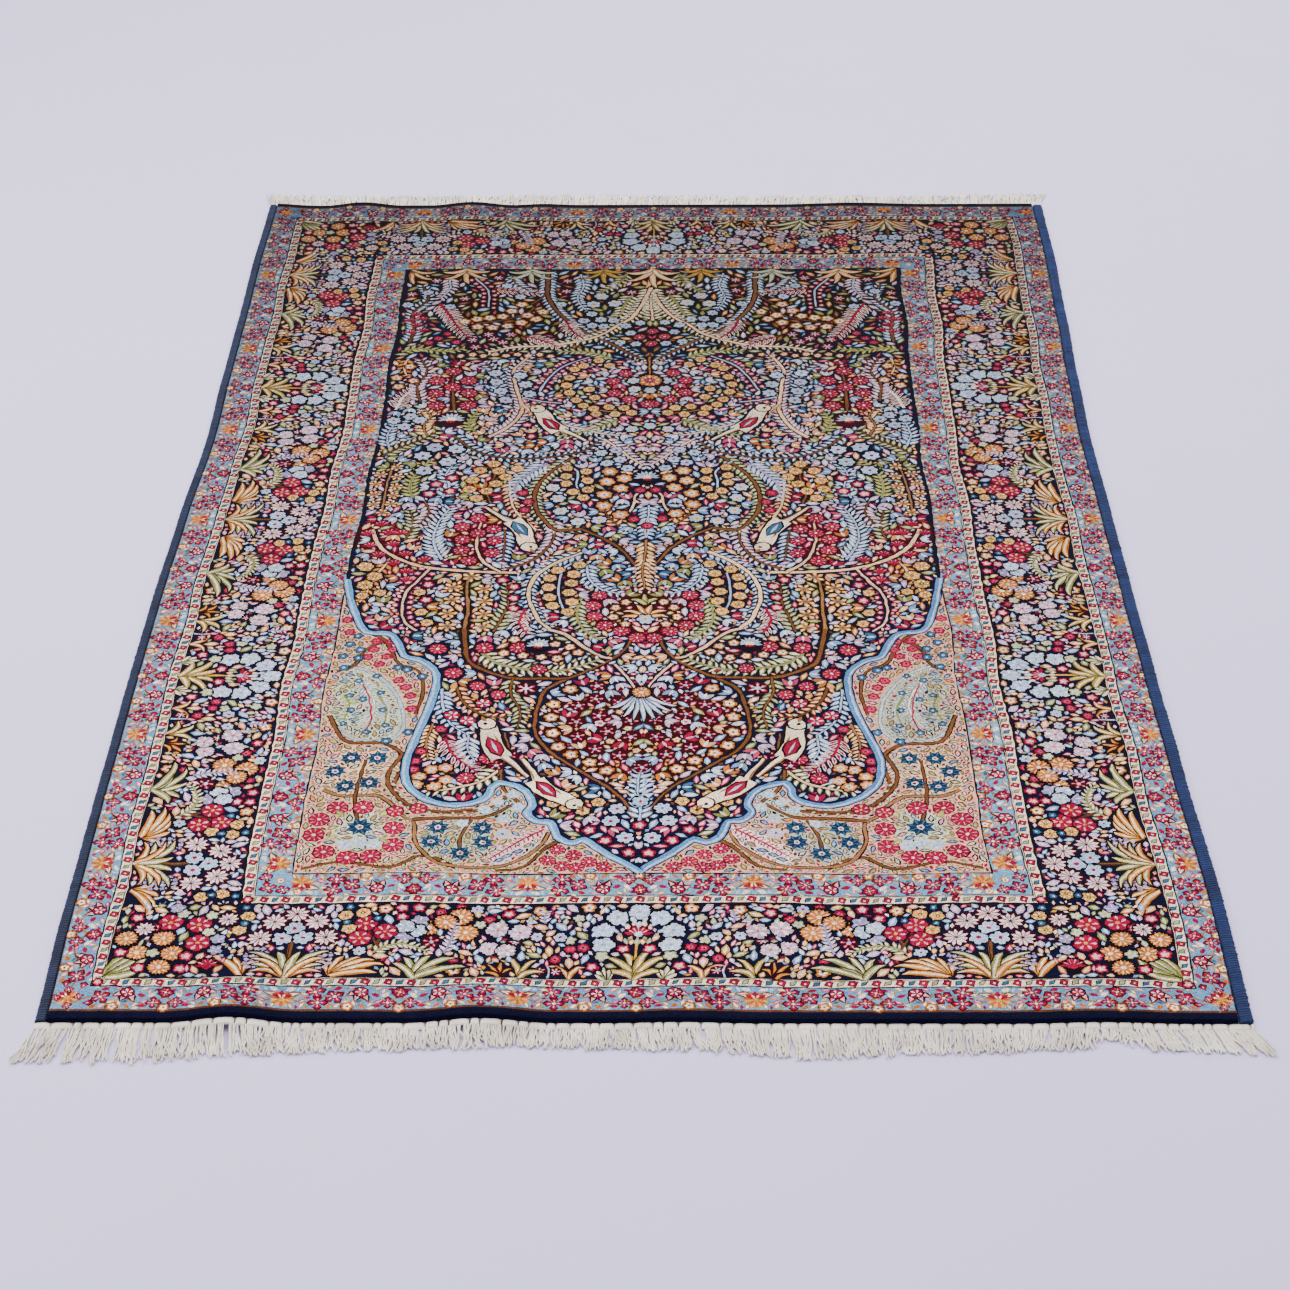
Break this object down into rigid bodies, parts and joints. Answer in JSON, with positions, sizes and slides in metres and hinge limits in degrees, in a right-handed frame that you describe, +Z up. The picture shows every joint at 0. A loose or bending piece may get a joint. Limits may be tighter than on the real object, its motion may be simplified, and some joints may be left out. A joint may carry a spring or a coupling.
{
  "type": "persian rug",
  "caption": "Hand-knotted wool pile rug with a flowered field and navy border, overcast side cords and cotton fringes, lying flat with rippled ends.",
  "frame": {"origin": "on the floor, under the middle of the rug", "axes": "+Z up, +Y along the rug away from the end that is nearest in the picture, +X to the right"},
  "size_m": [1.3946, 2.3401, 0.0166],
  "materials": {
    "pile_wool": "matte",
    "cord_wool": "matte",
    "warp_cotton": "matte"
  },
  "bodies": {
    "root": {"pile_carpet": "pile_wool", "side_cord_left": "cord_wool", "side_cord_right": "cord_wool", "fringe_near": "warp_cotton", "fringe_far": "warp_cotton"}
  },
  "joints": []
}
